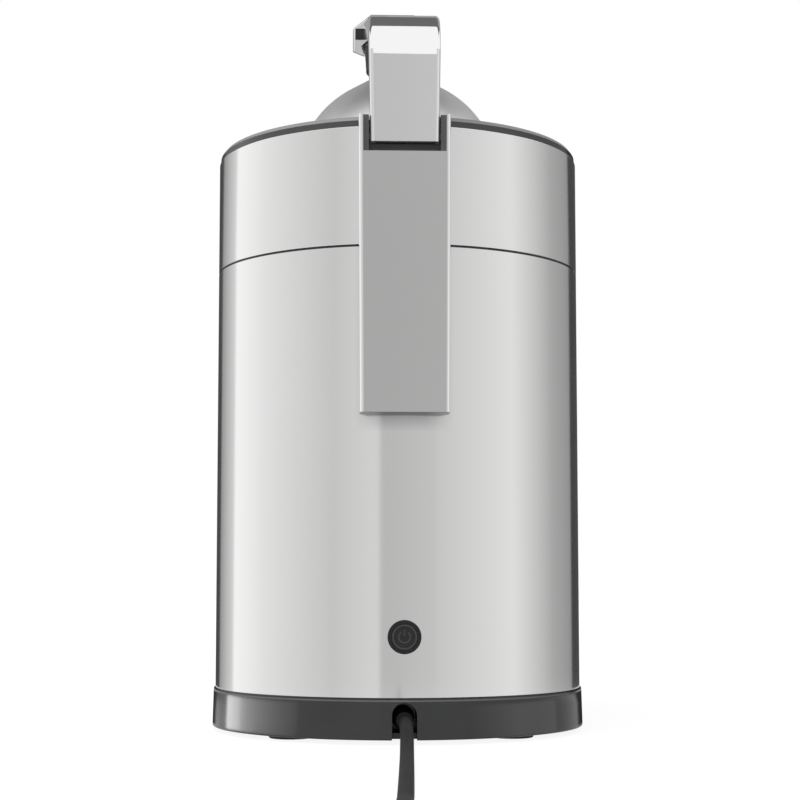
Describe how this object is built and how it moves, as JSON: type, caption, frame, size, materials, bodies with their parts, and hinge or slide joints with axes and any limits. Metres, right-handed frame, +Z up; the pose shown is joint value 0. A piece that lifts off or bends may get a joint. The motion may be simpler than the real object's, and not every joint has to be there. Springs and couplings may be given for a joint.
{
  "type": "electric citrus juicer",
  "caption": "Countertop electric citrus juicer with a steel tube body, a rear-hinged chromed press lever with a steel dome, a fluted cone and a tilting spout.",
  "frame": {"origin": "on the worktop, under the middle of the juicer seen from above with its free cord left out; the body's axis stands 17.9 mm behind it", "axes": "+Z up, +Y towards the spout at the front, -Y towards the lever hinge at the rear, +X to the right seen from the rear"},
  "size_m": [0.1961, 0.5907, 0.3884],
  "materials": {
    "satin_steel": "fine vertical satin grain",
    "bright_steel": "plain bright steel",
    "motor_steel": "zinc-plated motor can",
    "chrome": "smooth chromed casting",
    "dark_plastic": "satin dark grey moulding",
    "dark_gloss": "glossy dark grey moulding",
    "black_plastic": "matte black moulding",
    "gear_plastic": "natural nylon",
    "foot_rubber": "soft black rubber",
    "cord_rubber": "smooth black cord sheath",
    "bronze": "sintered bronze",
    "brass": "nickel-plated brass"
  },
  "bodies": {
    "casing": {"base_plinth": "dark_plastic", "bottom_cover": "black_plastic", "cover_screws": "bright_steel", "foot_rear_left": "foot_rubber", "foot_rear_right": "foot_rubber", "foot_front_left": "foot_rubber", "foot_front_right": "foot_rubber", "housing_shell": "satin_steel", "deck": "black_plastic", "gear_plate": "bright_steel", "plate_screws": "bright_steel", "upper_bush": "bronze", "lower_bush": "bronze", "idler_axle": "bright_steel", "motor_can": "motor_steel", "motor_magnets": "dark_plastic", "motor_end_cap": "black_plastic", "spring_well": "black_plastic", "micro_switch": "black_plastic", "return_spring": "bright_steel", "collector_band": "satin_steel", "juice_bowl": "black_plastic", "rim_ring": "dark_gloss", "strainer": "bright_steel", "outlet": "dark_gloss", "spine_cover": "satin_steel", "hinge_block": "black_plastic", "hinge_pin": "bright_steel", "spine_screws": "bright_steel", "switch_bezel": "dark_gloss", "switch_body": "black_plastic", "cord_gland": "cord_rubber", "mains_cord": "cord_rubber", "cord_coil": "cord_rubber", "cord_tie": "black_plastic", "plug_body": "cord_rubber", "plug_pins": "brass"},
    "lever": {"lever_arm": "chrome", "lever_core": "black_plastic", "lever_grip": "chrome", "grip_inserts": "black_plastic", "dome_holder": "black_plastic", "dome_pin": "bright_steel"},
    "dome": {"press_dome": "satin_steel", "dome_liner": "black_plastic"},
    "press": {"thrust_cup": "gear_plastic"},
    "drive": {"drive_shaft": "bright_steel", "drive_gear": "gear_plastic", "reamer_cone": "dark_gloss"},
    "idler": {"idler_gear": "gear_plastic"},
    "motor_rotor": {"motor_shaft": "bright_steel", "motor_pinion": "bright_steel"},
    "spout": {"spout": "dark_gloss"},
    "button": {"power_button": "dark_gloss"}
  },
  "joints": [
    {"name": "lever_hinge", "type": "hinge", "parent": "casing", "child": "lever", "pos_m": [0, -0.10894, 0.2665], "axis": [1, 0, 0], "range_deg": [0, 80]},
    {"name": "dome_tilt", "type": "hinge", "parent": "lever", "child": "dome", "pos_m": [0, -0.01794, 0.328], "axis": [1, 0, 0], "range_deg": [-5, 5]},
    {"name": "press_slide", "type": "slide", "parent": "casing", "child": "press", "axis": [0, 0, -1], "range_m": [0, 0.002], "stiffness_N_per_m": 3000, "springref_m": -0.005, "deforming": ["return_spring"]},
    {"name": "drive_spin", "type": "hinge", "parent": "press", "child": "drive", "pos_m": [0, -0.01794, 0.2], "axis": [0, 0, 1], "continuous": true},
    {"name": "idler_spin", "type": "hinge", "parent": "casing", "child": "idler", "pos_m": [0.044, -0.01794, 0.19], "axis": [0, 0, 1], "continuous": true},
    {"name": "motor_spin", "type": "hinge", "parent": "casing", "child": "motor_rotor", "pos_m": [0.0215, 0.01206, 0.18], "axis": [0, 0, 1], "continuous": true},
    {"name": "spout_tilt", "type": "hinge", "parent": "casing", "child": "spout", "pos_m": [0, 0.08206, 0.226], "axis": [1, 0, 0], "range_deg": [0, 30]},
    {"name": "button_press", "type": "slide", "parent": "casing", "child": "button", "axis": [0, 1, 0], "range_m": [0, 0.0015], "stiffness_N_per_m": 800, "springref_m": -0.001}
  ],
  "couplings": [
    {"joint": "drive_spin", "follows": "idler_spin", "ratio": -0.375},
    {"joint": "motor_spin", "follows": "idler_spin", "ratio": -4}
  ]
}
